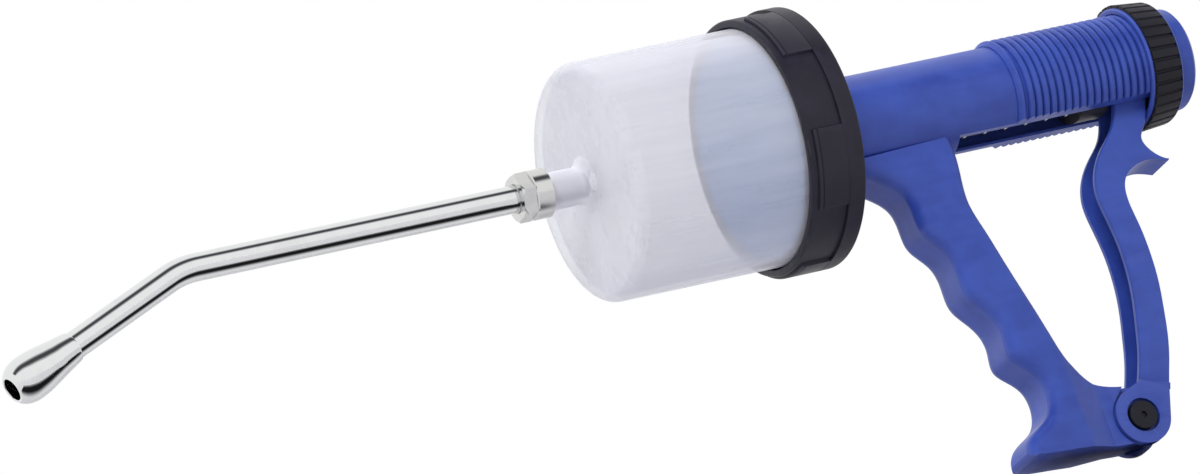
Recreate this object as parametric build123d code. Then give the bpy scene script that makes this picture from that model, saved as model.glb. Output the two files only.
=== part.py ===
from build123d import *
import math
import os

# A pistol-grip drench gun with a piston barrel and a bent metal nozzle. All sizes are in mm.
# X runs along the barrel axis and X = 0 is the rear end of the body tube. The nozzle points
# to -X and the grip hangs to -Z. Radii are from the barrel axis unless a note says otherwise.

# Fits and clearances
sliding_gap = 0.4       # radial, crosshead and piston in their bores
seal_gap = 0.06         # radial, the seals in the barrel
pin_gap = 0.04          # radial, a pin or rod in its hole
seat_gap = 0.04         # radial, a piece pressed or screwed into another
side_gap = 0.4          # each side, a moving piece between two walls
stud_gap = 0.4          # the stud's end to the bottom of its hole
end_gap = 0.6           # what the piston leaves to the barrel's front wall
stop_gap = 0.35         # between the resting lever and the dose knob

# Barrel
barrel_radius = 42.0
barrel_wall = 1.8
barrel_draft = 0.4      # growth of the outer radius to the rear
barrel_front_wall = 3.4
barrel_edge = 4.0       # rounding of the front edge
chamber_length = 68.4   # front wall to the barrel's rear end
rim_width = 1.7         # radial width of the clamped rim
rim_thickness = 2.6
spigot_radius = 6.6
spigot_length = 15.0
spigot_foot = 3.0       # flare of the spigot at the barrel
outlet_bore = 3.2

# Clamp ring
ring_lip = 5.1          # in front of the rim
ring_tail = 0.7         # behind the flange
ring_wall = 1.4         # between the pads
pad_height = 1.1
pad_inset = 2.5         # the ring's front to the pads
pad_length = 11.4
pad_count = 5
pad_turn = 33.0         # degrees, places the pads round the ring
ring_edge = 1.0
gasket_thickness = 1.2

# Body
flange_wall = 3.0
cup_depth = 8.0
tube_length = 151.6     # flange to the rear end
tube_radius = 18.0
tube_wall = 2.4
collar_flare = 4.0      # cone between flange and tube
tube_edge = 1.0         # bevel of the rear end
thread_radius = 20.0
thread_pitch = 3.0
thread_depth = 1.5
crest_land = 0.6        # flat between two crests
thread_length = 72.2    # rear end forward to the thread's shoulder
thread_band = 1.9       # shoulder in front of the first groove
plain_end = 8.0         # tube left without thread at the rear end
slot_length = 83.0
slot_rear = 14.0        # tube left uncut behind the slot
slot_flat = 14.5        # barrel axis down to the flat that the slot is cut in

# Grip
pivot_drop = 127.3      # barrel axis down to the lever pivot
pivot_forward = 66.1    # rear end forward to the lever pivot
grip_root = 122.1       # rear end forward to the grip's middle on the barrel axis
heel_length = 25.1      # the grip's foot to the pivot
toe_length = 22.8       # in front of the grip's foot
heel_depth = 7.1        # below the pivot
heel_top = 11.6         # above the pivot
grip_depth = 20.0       # front to back, between two finger hollows
grip_width = 22.5
grip_rounding = 4.8
back_rounding = 2.5
heel_width = 13.4
tongue_width = 9.0
tongue_radius = 9.0     # from the pivot

# Lever
rest_lean = 18.9        # degrees back from the vertical
lever_width = 14.4
lever_wall = 2.3
lever_web = 2.2
lever_depth = 11.4      # middle line to the palm
eye_radius = 10.4
eye_pad = 1.0           # raised side of the eye
pad_top = 13.2          # pivot up to the raised side's edge
shoulder_along = 12.8
shoulder_across = -0.6
fork_radius = 5.9
lever_rounding = 0.8

# Lever pivot
pivot_radius = 3.0
sleeve_wall = 1.6
pivot_head_radius = 4.2
pivot_head = 1.2
cap_radius = 5.2
cap_recess = 2.0
cap_proud = 0.3
cap_groove = 1.0        # round the cap, in the eye
dimple_radius = 1.2
dimple_depth = 0.8

# Plunger
piston_length = 12.0
piston_rest_gap = 5.0   # behind the piston when the lever is open
piston_plate = 4.5
piston_face = 1.6       # wall in front of the rod's stud
piston_rim = 5.0
hub_radius = 11.0
nut_pocket = 6.5        # in the hub, from its rear end
piston_ribs = 6
rib_thickness = 2.2
seal_section = 1.25     # radius of the seals' round section
seal_inset = 2.6        # first seal's middle behind the piston's face
seal_spacing = 3.6
rod_radius = 5.0
stud_radius = 3.0
cross_pin_radius = 3.0
cross_pin_play = 0.1    # each side, in the lever's fork
cheek_length = 14.0     # half of the cross pin
yoke_front = 22.0       # crosshead in front of the pin
yoke_wall = 3.6         # behind the lever window
locknut_flats = 11.0
locknut_length = 5.0
piston_nut_flats = 10.0
piston_nut_length = 4.6
washer_radius = 6.6
washer_thickness = 1.2

# Guide bush and return spring
bush_length = 8.0
bush_lip = 1.5
bush_lip_width = 2.0
spring_radius = 11.4
wire_radius = 0.9
spring_turns = 12

# Dose knob
knob_inset = 7.5        # tube's rear end forward to the knob
knob_length = 13.0
knob_gap = 0.3          # over the thread's crests
knob_radius = 22.2
knob_lip = 0.9
knob_floor = 1.2        # wall behind the thread
knob_seat_depth = 1.1
knob_edge = 0.6
grip_ring_length = 11.4
grip_ring_radius = 23.4
grip_ring_taper = 1.05  # smaller radius behind
flute_count = 34
flute_depth = 0.7
flute_width = 1.3
plug_length = 5.0

# Nozzle
nozzle_radius = 4.85
nozzle_wall = 1.15
nozzle_reach = 151.6    # barrel face to the bend's corner
nozzle_tail = 75.2      # bend's corner to the mouth
bend_angle = 22.0
bend_radius = 30.0
tip_length = 26.6
tip_radius = 8.05
tip_neck = 5.5
tip_socket = 12.0
mouth_radius = 4.0
mouth_lip = 0.8         # flat round the mouth
nut_flats = 15.2
nut_hex = 5.0
nut_collar_length = 6.6
nut_collar_radius = 8.7
nut_face = 2.0
nut_gap = 0.3
union_radius = 6.2
insert_radius = 4.6
insert_inset = 0.5
ferrule_radius = 6.1
ferrule_length = 2.0
seal_thickness = 1.2

# Stations along the axis, worked out from the rear end forward
flange_rear = -tube_length
cup_back = flange_rear - flange_wall
cup_front = cup_back - cup_depth
rim_rear = cup_front - gasket_thickness
rim_front = rim_rear - rim_thickness
ring_front = rim_front - ring_lip
chamber_front = rim_rear - chamber_length
barrel_front = chamber_front - barrel_front_wall
spigot_front = barrel_front - spigot_length
nut_rear = spigot_front - nut_gap
nut_front = nut_rear - nut_collar_length - nut_hex
ferrule_front = nut_front + nut_face
seal_front = ferrule_front + ferrule_length
insert_front = seal_front + seal_thickness
knob_back = -knob_inset
knob_front = knob_back - knob_length
thread_front = -thread_length
slot_front = -slot_rear - slot_length

# Radii that follow from others
bore_radius = barrel_radius - barrel_wall
tube_bore = tube_radius - tube_wall
barrel_rear_radius = barrel_radius + barrel_draft
clamp_radius = barrel_rear_radius + rim_width
slot_width = lever_width + 3 * side_gap
lever_gap = lever_width - 2 * lever_wall
sleeve_radius = pivot_radius + pin_gap + sleeve_wall
thread_root = thread_radius - thread_depth
knob_bore = thread_radius + knob_gap
knob_seat = knob_radius - knob_seat_depth

# The lever, the cross pin and the stroke
pivot_x = -pivot_forward
pin_x = pivot_x + pivot_drop * math.tan(math.radians(rest_lean))
pin_reach = pivot_drop / math.cos(math.radians(rest_lean))
piston_front = cup_back - piston_rest_gap - piston_length
nut_seat = piston_front + piston_length - nut_pocket
stroke = piston_front - chamber_front - end_gap
full_lean = math.degrees(math.atan((pin_x - stroke - pivot_x) / pivot_drop))
swing = rest_lean - full_lean

# The crosshead moves in proportion to the lever's angle, so the fork's slot is set back by
# half of what the cross pin drifts across it
middle_lean = math.radians(rest_lean - swing / 2)
pin_drift = pin_x - stroke / 2 - pivot_x - pivot_drop * math.tan(middle_lean)
fork_slot = cross_pin_radius + pin_drift / 2 + cross_pin_play

# Where the lever's rear edge meets the dose knob's front face at rest
stop_x = knob_front - stop_gap - pivot_x
stop_z = pivot_drop - math.sqrt(knob_bore**2 - (lever_width / 2) ** 2)
lean_sine = math.sin(math.radians(rest_lean))
lean_cosine = math.cos(math.radians(rest_lean))
stop_along = stop_x * lean_sine + stop_z * lean_cosine
stop_across = stop_x * lean_cosine - stop_z * lean_sine

# The lever window in the crosshead, from the pin to the front and to the rear
window_front = (tube_bore * lean_sine + fork_radius) / lean_cosine
full_sine = math.sin(math.radians(full_lean))
full_cosine = math.cos(math.radians(full_lean))
window_rear = stop_along * full_sine + stop_across * full_cosine + pivot_x - pin_x + stroke
window_rear += 2 * side_gap


def rod_x(x0, x1, radius):
    """A round bar along X."""
    return Pos((x0 + x1) / 2, 0, 0) * Rot(0, 90, 0) * Cylinder(radius, x1 - x0)


def rod_y(y0, y1, radius, x, z):
    """A round bar along Y."""
    return Pos(x, (y0 + y1) / 2, z) * Rot(90, 0, 0) * Cylinder(radius, y1 - y0)


def hex_x(x0, x1, flats):
    """A hexagonal bar along X, with a flat on top."""
    outline = RegularPolygon(flats / 2, 6, major_radius=False, rotation=30)
    return extrude(Plane(origin=(x0, 0, 0), z_dir=(1, 0, 0)) * outline, amount=x1 - x0)


def turned(*points):
    """A solid turned about X from its (x, radius) outline."""
    return revolve(make_face(Polyline(*points, close=True)), Axis.X)


def block(x0, x1, y0, y1, z0, z1):
    return Pos((x0 + x1) / 2, (y0 + y1) / 2, (z0 + z1) / 2) * Box(x1 - x0, y1 - y0, z1 - z0)


def plate(outline, width):
    """An (X, Z) outline made into a plate of that width, half on each side of Y = 0."""
    return extrude(Plane.XZ * make_face(outline), amount=width / 2, both=True)


def barrel():
    """Translucent barrel with a clamped rim behind and a spigot for the nozzle in front."""
    shell = turned(
        (barrel_front, 0),
        (barrel_front, barrel_radius),
        (rim_front, barrel_rear_radius),
        (rim_front, clamp_radius),
        (rim_rear, clamp_radius),
        (rim_rear, bore_radius),
        (chamber_front, bore_radius),
        (chamber_front, 0),
    )
    front_edge = shell.edges().filter_by(GeomType.CIRCLE).sort_by(Axis.X)[0]
    shell = fillet(front_edge, barrel_edge)
    shell += turned(
        (spigot_front, 0),
        (spigot_front, spigot_radius),
        (barrel_front - spigot_foot, spigot_radius),
        (barrel_front, spigot_radius + spigot_foot),
        (chamber_front, spigot_radius + spigot_foot),
        (chamber_front, 0),
    )
    shell -= rod_x(spigot_front, barrel_front - insert_inset, insert_radius + seat_gap)
    return shell - rod_x(spigot_front, chamber_front, outlet_bore)


def gasket():
    return rod_x(rim_rear, cup_front, clamp_radius) - rod_x(rim_rear, cup_front, bore_radius)


def clamp_ring():
    """Screwed ring that clamps the barrel's rim to the body, with grip pads round it."""
    core_radius = clamp_radius + seat_gap + ring_wall
    ring_rear = flange_rear + ring_tail
    start = ring_front + pad_inset
    ring = rod_x(ring_front, ring_rear, core_radius)
    ring += rod_x(start, ring_rear, core_radius + pad_height)
    outer = ring.edges().filter_by(GeomType.CIRCLE).sort_by(Axis.X)
    ring = fillet([outer[0], outer[-1]], ring_edge)
    recess = rod_x(start, start + pad_length, core_radius + 2 * pad_height)
    recess -= rod_x(start, start + pad_length, core_radius)
    half = 90 / pad_count
    reach = 2 * core_radius
    side = reach * math.tan(math.radians(half))
    wedge = extrude(
        Plane.YZ * make_face(Polyline((0, 0), (reach, side), (reach, -side), close=True)),
        amount=-2 * tube_length,
    )
    for number in range(pad_count):
        turn = 360 / pad_count * number + pad_turn
        ring -= recess & (Rot(turn, 0, 0) * wedge)
    ring -= rod_x(ring_front, rim_front, barrel_rear_radius + seat_gap)
    return ring - rod_x(rim_front, ring_rear, clamp_radius + seat_gap)


def thread_outline():
    """Turned outline of the threaded part, one rounded crest for each turn."""
    crests = int((thread_length - thread_band - plain_end) / thread_pitch)
    start = thread_front + thread_band
    half = thread_pitch / 2
    root = thread_root
    lines = [Line((thread_front - thread_depth, tube_bore), (thread_front - thread_depth, root))]
    lines.append(Line((thread_front - thread_depth, root), (thread_front, thread_radius)))
    lines.append(Line((thread_front, thread_radius), (start - thread_depth, thread_radius)))
    lines.append(Line((start - thread_depth, thread_radius), (start, root)))
    for number in range(crests):
        x = start + number * thread_pitch
        land = x + crest_land
        lines.append(Line((x, root), (land, root)))
        lines.append(ThreePointArc((land, root), ((land + x) / 2 + half, thread_radius),
                                   (x + thread_pitch, root)))
    end = start + crests * thread_pitch
    lines.append(Line((end, root), (-tube_edge, root)))
    lines.append(Line((-tube_edge, root), (0, root - tube_edge)))
    lines.append(Line((0, root - tube_edge), (0, tube_bore)))
    lines.append(Line((0, tube_bore), (thread_front - thread_depth, tube_bore)))
    return make_face(lines)


def body_tube():
    """Flange cup and tube, turned about the barrel axis."""
    cup = turned(
        (cup_front, bore_radius + sliding_gap),
        (cup_front, clamp_radius),
        (flange_rear, clamp_radius),
        (flange_rear, tube_radius + collar_flare),
        (flange_rear + collar_flare, tube_radius),
        (thread_front, tube_radius),
        (thread_front, tube_bore),
        (cup_back, tube_bore),
        (cup_back, bore_radius + sliding_gap),
    )
    return cup + revolve(thread_outline(), Axis.X)


def grip_point(across, down):
    """A point of the grip's outline. across is the share of the grip's depth from its slanted
    middle line, and down is 0 at the barrel axis and 1 at the pivot."""
    foot_x = pivot_x - heel_length
    root_x = -grip_root
    return (root_x + (foot_x - root_x) * down + grip_depth * across, -pivot_drop * down)


def heel_point(forward, up):
    return (pivot_x - forward, -pivot_drop + up)


def grip():
    """Hand grip with finger hollows, and the heel that carries the lever."""
    front = [
        grip_point(-1.545, 0.126), grip_point(-1.10, 0.152), grip_point(-0.74, 0.196),
        grip_point(-0.505, 0.245), grip_point(-0.535, 0.300), grip_point(-0.59, 0.362),
        grip_point(-0.405, 0.428), grip_point(-0.43, 0.485), grip_point(-0.515, 0.555),
        grip_point(-0.33, 0.626), grip_point(-0.315, 0.684), grip_point(-0.455, 0.756),
        grip_point(-0.20, 0.821), grip_point(-0.21, 0.880), grip_point(-0.48, 0.944),
        grip_point(-0.95, 0.984), heel_point(heel_length + toe_length, -0.5 * heel_depth),
    ]
    back = [
        grip_point(0.865, 0.110), grip_point(0.67, 0.225), grip_point(0.50, 0.306),
        grip_point(0.48, 0.386), grip_point(0.47, 0.503), grip_point(0.47, 0.624),
        grip_point(0.46, 0.730), heel_point(0.777 * heel_length, 1.776 * heel_top),
        heel_point(0.582 * heel_length, 1.345 * heel_top),
        heel_point(0.359 * heel_length, 1.13 * heel_top), heel_point(0, heel_top),
    ]
    toe_front = heel_point(heel_length + 0.975 * toe_length, -0.705 * heel_depth)
    toe = heel_point(heel_length + 0.88 * toe_length, -0.775 * heel_depth)
    sole = heel_point(heel_length + 0.45 * toe_length, -0.945 * heel_depth)
    end = heel_point(-tongue_radius, 0)
    under = heel_point(0, -tongue_radius)
    root2 = tongue_radius / math.sqrt(2)
    corner = heel_point(-root2, root2)
    lower = heel_point(-root2, -root2)
    outline = [
        Spline(*front),
        ThreePointArc(front[-1], toe_front, toe),
        Spline(toe, sole, under, tangents=[(1, -0.3), (1, 0)]),
        ThreePointArc(under, lower, end),
        Spline(end, corner, back[-1]),
        Spline(*back[::-1]),
        Line(back[0], front[0]),
    ]
    solid = plate(outline, grip_width)
    rims = [edge for edge in solid.edges() if abs(edge.center().Y) > grip_width / 2 - 0.01]
    finger_side = [edge for edge in rims if edge.length > pivot_drop]
    solid = fillet(finger_side, grip_rounding)
    rims = [edge for edge in solid.edges() if abs(edge.center().Y) > grip_width / 2 - 0.01]
    palm_side = sorted(rims, key=lambda edge: edge.length)[-4:]
    palm_side = [edge for edge in palm_side if edge.center().X > pivot_x - heel_length - 10]
    return fillet(palm_side, back_rounding)


def lever_point(along, across):
    """A point of the lever. along runs from the pivot to the cross pin, across to the rear."""
    x = pivot_x + along * lean_sine + across * lean_cosine
    z = -pivot_drop + along * lean_cosine - across * lean_sine
    return (x, z)


def lever_shape(along, across):
    """A point of the lever's outline, as shares of its reach and of its depth."""
    return lever_point(along * pin_reach, across * lever_depth)


def polar_point(radius, degrees):
    """A point round the pivot; the angle is from the lever's own direction to the rear."""
    angle = math.radians(degrees)
    return lever_point(radius * math.cos(angle), radius * math.sin(angle))


def heel_recess():
    """What is cut off both cheeks of the heel, so that the lever's eyes can turn there."""
    shoulder = math.hypot(shoulder_along, shoulder_across)
    shoulder_angle = math.degrees(math.atan2(shoulder_across, shoulder_along))
    flare = math.degrees(math.acos(eye_radius / shoulder))
    outer = shoulder + side_gap
    inner = eye_radius + side_gap
    outline = Polyline(
        polar_point(0, 0),
        polar_point(outer * 1.2, shoulder_angle + rest_lean),
        polar_point(outer, shoulder_angle),
        polar_point(outer, shoulder_angle - swing / 2),
        polar_point(outer, shoulder_angle - swing),
        polar_point(inner, shoulder_angle - swing - flare),
        close=True,
    )
    side = plate(outline, 2 * grip_width)
    side += rod_y(-grip_width, grip_width, inner, pivot_x, -pivot_drop)
    half = tongue_width / 2
    return side - block(-tube_length, 0, -half, half, -2 * pivot_drop, 0)


def lever_side():
    """The lever's outline: round eye, belly for the palm, rear spur and fork."""
    shoulder = math.hypot(shoulder_along, shoulder_across)
    shoulder_angle = math.degrees(math.atan2(shoulder_across, shoulder_along))
    flare = shoulder_angle - math.degrees(math.acos(eye_radius / shoulder))
    front = [
        lever_point(shoulder_along, shoulder_across), lever_shape(0.15, 0.01),
        lever_shape(0.19, 0.026), lever_shape(0.26, -0.01), lever_shape(0.33, -0.07),
        lever_shape(0.415, -0.246), lever_shape(0.49, -0.518), lever_shape(0.56, -0.877),
        lever_shape(0.62, -1.14), lever_shape(0.68, -1.149), lever_shape(0.75, -0.868),
        lever_shape(0.81, -0.526), lever_shape(0.87, -0.43),
        lever_point(pin_reach, pin_drift / 2 - fork_radius),
    ]
    rear = [
        lever_point(pin_reach, pin_drift / 2 + fork_radius), lever_shape(0.90, 0.702),
        lever_point(stop_along, stop_across), lever_shape(0.832, 0.614),
        lever_shape(0.790, 0.491), lever_shape(0.762, 0.737), lever_shape(0.742, 1.386),
    ]
    palm = [
        lever_shape(0.735, 1.351), lever_shape(0.729, 0.649), lever_shape(0.70, 0.105),
        lever_shape(0.665, -0.149), lever_shape(0.61, -0.114), lever_shape(0.545, 0.202),
        lever_shape(0.47, 0.526), lever_shape(0.385, 0.781), lever_shape(0.30, 0.921),
        lever_shape(0.23, 1.0), lever_shape(0.165, 1.0), lever_shape(0.12, 0.965),
        lever_shape(0.08, 0.939), lever_point(0, eye_radius),
    ]
    spur_end = (-lean_cosine, lean_sine)
    to_eye = (-lean_sine, -lean_cosine)
    eye_front = polar_point(eye_radius, flare)
    eye_low = polar_point(eye_radius, (flare - 270) / 2)
    return [
        Spline(*front),
        ThreePointArc(front[-1], lever_point(pin_reach + fork_radius, pin_drift / 2), rear[0]),
        Spline(*rear),
        Line(rear[-1], palm[0]),
        Spline(*palm, tangents=[spur_end, to_eye]),
        ThreePointArc(palm[-1], eye_low, eye_front),
        Line(eye_front, front[0]),
    ]


def lever():
    """Channel lever open to the front, with two eyes over the tongue and a slotted fork."""
    solid = plate(lever_side(), lever_width)
    rims = [edge for edge in solid.edges() if abs(edge.center().Y) > lever_width / 2 - 0.01]
    rims = [edge for edge in rims if edge.geom_type == GeomType.BSPLINE]
    solid = fillet([edge for edge in rims if edge.center().Z > -pivot_drop / 2], lever_rounding)
    far = 2 * pin_reach
    eye_part = Polyline(
        lever_point(pad_top, -far), lever_point(pad_top, far), lever_point(-far, far),
        lever_point(-far, -far), close=True,
    )
    solid += plate(lever_side(), lever_width + 2 * eye_pad) & plate(eye_part, 2 * lever_width)
    shift = lever_point(0, -lever_web)
    channel = plate(lever_side(), lever_gap)
    solid -= Pos(shift[0] - pivot_x, 0, shift[1] + pivot_drop) * channel
    half = lever_gap / 2
    solid -= rod_y(-half, half, eye_radius + side_gap, pivot_x, -pivot_drop)
    middle = pin_drift / 2
    front = middle - fork_slot
    rear = middle + fork_slot
    slot = [
        Line(lever_point(pivot_drop, front), lever_point(pin_reach, front)),
        ThreePointArc(lever_point(pin_reach, front), lever_point(pin_reach + fork_slot, middle),
                      lever_point(pin_reach, rear)),
        Line(lever_point(pin_reach, rear), lever_point(pivot_drop, rear)),
        ThreePointArc(lever_point(pivot_drop, rear), lever_point(pivot_drop - fork_slot, middle),
                      lever_point(pivot_drop, front)),
    ]
    solid -= plate(slot, 2 * lever_width)
    outer = lever_width / 2 + eye_pad
    for side in (-1, 1):
        y0, y1 = sorted((side * (outer - cap_recess), side * (outer + 1)))
        solid -= rod_y(y0, y1, cap_radius + cap_groove, pivot_x, -pivot_drop)
    return solid - rod_y(-outer, outer, pivot_radius + pin_gap, pivot_x, -pivot_drop)


def gun_body():
    """Flange, threaded tube and grip, moulded in one."""
    body = body_tube()
    handle = grip()
    taper_start = pivot_x - heel_length + 1.0
    taper_end = pivot_x - shoulder_along - 1.0
    far = -2 * tube_length
    half = grip_width / 2
    heel_half = heel_width / 2
    plan = Polyline(
        (far, half), (taper_start, half), (taper_end, heel_half), (tube_length, heel_half),
        (tube_length, -heel_half), (taper_end, -heel_half), (taper_start, -half), (far, -half),
        close=True,
    )
    handle &= Pos(0, 0, -2 * pivot_drop) * extrude(make_face(plan), amount=4 * pivot_drop)
    handle -= heel_recess()
    body += handle
    body -= rod_x(cup_back, 1, tube_bore)
    below = -2 * tube_radius
    body -= block(slot_front, -slot_rear, -slot_width / 2, slot_width / 2, below, 0)
    body -= block(slot_front, -slot_rear, -tube_radius, tube_radius, below, -slot_flat)
    half_tongue = tongue_width / 2
    return body - rod_y(-half_tongue, half_tongue, sleeve_radius + seat_gap, pivot_x, -pivot_drop)


def pivot_sleeve():
    half = tongue_width / 2
    sleeve = rod_y(-half, half, sleeve_radius, pivot_x, -pivot_drop)
    return sleeve - rod_y(-half, half, pivot_radius + pin_gap, pivot_x, -pivot_drop)


def pin_seat():
    """Y of the floor of the cap recess in the eyes, where the pivot's heads bear."""
    return lever_width / 2 + eye_pad - cap_recess


def pivot_pin():
    """Headed pin through both eyes and the sleeve."""
    seat = pin_seat()
    pin = rod_y(-seat, seat + pivot_head, pivot_radius, pivot_x, -pivot_drop)
    return pin + rod_y(-seat - pivot_head, -seat, pivot_head_radius, pivot_x, -pivot_drop)


def pivot_retainer():
    """Push-on washer on the pin's far end."""
    seat = pin_seat()
    washer = rod_y(seat, seat + pivot_head, pivot_head_radius, pivot_x, -pivot_drop)
    return washer - rod_y(seat, seat + pivot_head, pivot_radius + seat_gap, pivot_x, -pivot_drop)


def pivot_cap(side):
    """Round cover in the eye's recess, dimpled outside and hollow over the pin's head."""
    seat = side * pin_seat()
    face = side * (lever_width / 2 + eye_pad + cap_proud)
    hollow = seat + side * (pivot_head + pin_gap)
    dimple = face - side * dimple_depth
    cap = rod_y(min(seat, face), max(seat, face), cap_radius, pivot_x, -pivot_drop)
    cap = fillet(cap.edges().filter_by(GeomType.CIRCLE).sort_by(Axis.Y)[0 if side < 0 else -1],
                 cap_proud)
    cap -= rod_y(min(seat, hollow), max(seat, hollow), pivot_head_radius + pin_gap,
                 pivot_x, -pivot_drop)
    return cap - rod_y(min(face, dimple), max(face, dimple), dimple_radius, pivot_x, -pivot_drop)


def piston():
    """Piston with a plain face, two seal grooves, and ribs and a pocket for its nut behind."""
    radius = bore_radius - sliding_gap
    groove = bore_radius - seal_gap - 2 * seal_section - seat_gap
    rear = piston_front + piston_length
    body = rod_x(piston_front, rear, radius)
    body -= rod_x(piston_front + piston_plate, rear, radius - piston_rim)
    body += rod_x(piston_front + piston_plate, rear, hub_radius)
    rib_front = piston_front + piston_plate
    rib = block(rib_front, rear, -rib_thickness / 2, rib_thickness / 2, hub_radius / 2,
                radius - piston_rim / 2)
    for number in range(piston_ribs):
        body += Rot(360 / piston_ribs * number, 0, 0) * rib
    body -= rod_x(nut_seat, rear, washer_radius + sliding_gap)
    body -= rod_x(piston_front + piston_face, rear, stud_radius + pin_gap)
    width = seal_section + seat_gap
    for number in range(2):
        middle = seal_middle(number)
        cutter = rod_x(middle - width, middle + width, bore_radius)
        body -= cutter - rod_x(middle - width, middle + width, groove)
    return body


def seal_middle(number):
    return piston_front + seal_inset + number * seal_spacing


def piston_seal(number):
    ring_radius = bore_radius - seal_gap - seal_section
    return Pos(seal_middle(number), 0, 0) * Rot(0, 90, 0) * Torus(ring_radius, seal_section)


def piston_washer():
    washer = rod_x(nut_seat, nut_seat + washer_thickness, washer_radius)
    return washer - rod_x(nut_seat, nut_seat + washer_thickness, stud_radius + pin_gap)


def piston_nut():
    front = nut_seat + washer_thickness
    nut = hex_x(front, front + piston_nut_length, piston_nut_flats)
    return nut - rod_x(front, front + piston_nut_length, stud_radius + seat_gap)


def piston_rod():
    """Rod with a thin stud at each end, into the piston and into the crosshead."""
    shoulder = nut_seat + washer_thickness + piston_nut_length
    yoke = pin_x - yoke_front
    rod = rod_x(shoulder, yoke - locknut_length, rod_radius)
    rod += rod_x(piston_front + piston_face + stud_gap, shoulder, stud_radius)
    return rod + rod_x(yoke - locknut_length, yoke_bottom(), stud_radius)


def yoke_bottom():
    """End of the rod's hole in the crosshead."""
    return pin_x - window_front - 1.5


def rod_locknut():
    yoke = pin_x - yoke_front
    nut = hex_x(yoke - locknut_length, yoke, locknut_flats)
    return nut - rod_x(yoke - locknut_length, yoke, stud_radius + seat_gap)


def crosshead():
    """Slider in the tube. The lever works in its window and pushes on the cross pin."""
    radius = tube_bore - sliding_gap
    slider = rod_x(pin_x - yoke_front, pin_x + window_rear + yoke_wall, radius)
    half = slot_width / 2
    slider -= block(pin_x - window_front, pin_x + window_rear, -half, half, -radius, radius)
    slider -= rod_x(pin_x - yoke_front, yoke_bottom(), stud_radius + seat_gap)
    hole = cheek_length + seat_gap
    return slider - rod_y(-hole, hole, cross_pin_radius + seat_gap, pin_x, 0)


def cross_pin():
    return rod_y(-cheek_length, cheek_length, cross_pin_radius, pin_x, 0)


def guide_bush():
    """Bush in the tube's front end, which guides the rod and carries the spring."""
    bush = rod_x(cup_back, cup_back + bush_length, tube_bore - seat_gap)
    bush += rod_x(cup_back - bush_lip, cup_back, tube_bore + bush_lip_width)
    return bush - rod_x(cup_back - bush_lip, cup_back + bush_length, rod_radius + 2 * pin_gap)


def helix_point(start, pitch, turns):
    angle = 2 * math.pi * turns
    return Vector(start + pitch * turns, spring_radius * math.cos(angle),
                  spring_radius * math.sin(angle))


def helix_tangent(pitch, turns):
    angle = 2 * math.pi * turns
    reach = 2 * math.pi * spring_radius
    return Vector(pitch, -reach * math.sin(angle), reach * math.cos(angle)).normalized()


def two_arcs(p0, t0, p1, t1):
    """A pair of arcs that leave p0 along t0 and reach p1 along t1."""
    chord = p1 - p0
    both = t0 + t1
    a = 2 * (1 - t0.dot(t1))
    b = chord.dot(both)
    reach = (math.sqrt(b * b + a * chord.dot(chord)) - b) / a
    first = p0 + t0 * reach
    last = p1 - t1 * reach
    middle = (first + last) * 0.5
    return [TangentArc(p0, middle, tangent=t0), TangentArc(middle, p1, tangent=last - first)]


def return_spring():
    """Round wire wound between the guide bush and the crosshead."""
    start = cup_back + bush_length + wire_radius + seat_gap
    end = pin_x - yoke_front - wire_radius - seat_gap
    pitch = (end - start) / spring_turns
    path = []
    steps = 4 * spring_turns
    for number in range(steps):
        turns = number / 4
        path += two_arcs(
            helix_point(start, pitch, turns), helix_tangent(pitch, turns),
            helix_point(start, pitch, turns + 0.25), helix_tangent(pitch, turns + 0.25),
        )
    section = Plane(origin=helix_point(start, pitch, 0), z_dir=helix_tangent(pitch, 0))
    print("spring pitch", round(pitch, 3), "gap between turns", round(turn_gap(pitch), 3))
    return sweep(section * Circle(wire_radius), path=Wire(path))


def turn_gap(pitch):
    """Least gap of the spring's wire to its next turn, measured on points."""
    base = helix_point(0, pitch, 0)
    near = [helix_point(0, pitch, 0.5 + step / 400) for step in range(401)]
    return min((point - base).length for point in near) - 2 * wire_radius


def dose_knob():
    """Blue core of the dose knob, with a seat for its grip ring."""
    knob = rod_x(knob_front, knob_back, knob_radius)
    knob = chamfer(knob.edges().filter_by(GeomType.CIRCLE), knob_edge)
    seat = knob_front + knob_lip
    groove = rod_x(seat, seat + grip_ring_length, knob_radius + 1)
    knob -= groove - rod_x(seat, seat + grip_ring_length, knob_seat)
    knob -= rod_x(knob_front, knob_back - knob_floor, knob_bore)
    return knob - rod_x(knob_front, knob_back, thread_root + knob_gap)


def dose_grip_ring():
    """Black, slightly tapered ring with flutes for the fingers."""
    seat = knob_front + knob_lip
    rear = seat + grip_ring_length
    inner = knob_seat + seat_gap
    rear_radius = grip_ring_radius - grip_ring_taper
    ring = turned((seat, inner), (seat, grip_ring_radius), (rear, rear_radius), (rear, inner))
    flute = plate(Polyline(
        (seat, grip_ring_radius - flute_depth), (rear, rear_radius - flute_depth),
        (rear, 2 * grip_ring_radius), (seat, 2 * grip_ring_radius), close=True,
    ), flute_width)
    for number in range(flute_count):
        ring -= Rot(360 / flute_count * number, 0, 0) * flute
    return ring


def end_plug():
    """Disc that closes the rear of the tube."""
    return rod_x(-plug_length, 0, tube_bore - seat_gap)


def nozzle_frame(beyond):
    """A place on the bent end of the nozzle, that far past the bend's corner, facing out."""
    angle = math.radians(bend_angle)
    corner = barrel_front - nozzle_reach
    x = corner - beyond * math.cos(angle)
    z = -beyond * math.sin(angle)
    return Plane(origin=(x, 0, z), x_dir=(0, 1, 0), z_dir=(-math.cos(angle), 0, -math.sin(angle)))


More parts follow.
